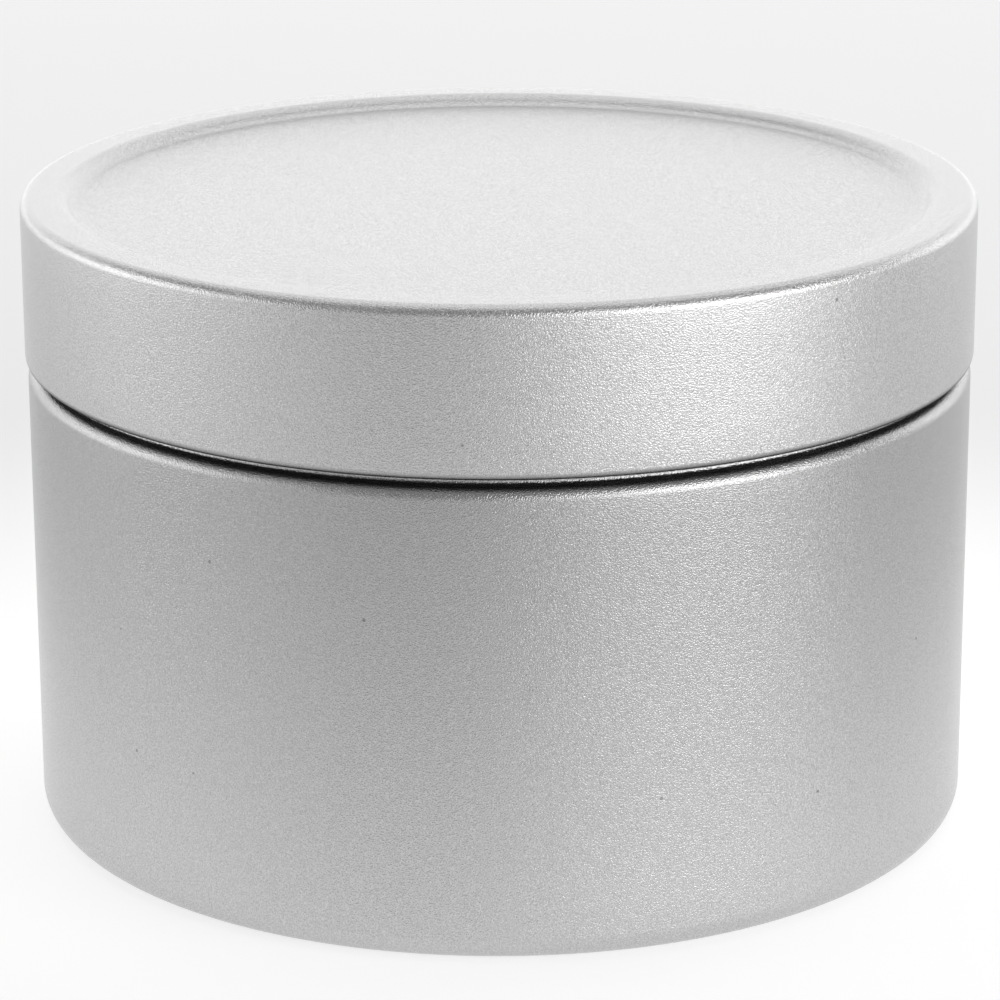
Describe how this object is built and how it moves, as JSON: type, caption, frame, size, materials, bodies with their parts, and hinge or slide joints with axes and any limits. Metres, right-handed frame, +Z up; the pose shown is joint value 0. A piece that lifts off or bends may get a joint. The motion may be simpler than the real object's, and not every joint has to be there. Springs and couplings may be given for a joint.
{
  "type": "candle tin",
  "caption": "Round drawn metal tin with a slip-on lid, for poured candles. The lid has a sunk centre panel and lifts straight off.",
  "frame": {"origin": "centre of the circle that the tin stands on, at the table's surface", "axes": "+Z up along the tin's axis, from the base to the lid; X and Y are free, because every piece is round"},
  "size_m": [0.077, 0.077, 0.0515],
  "materials": {
    "matte_tinplate": "matte silver, finely grained"
  },
  "bodies": {
    "tin": {"tin_body": "matte_tinplate"},
    "lid": {"tin_lid": "matte_tinplate"}
  },
  "joints": [
    {"name": "lid_lift", "type": "slide", "parent": "tin", "child": "lid", "axis": [0, 0, 1], "range_m": [0, 0.06]}
  ]
}
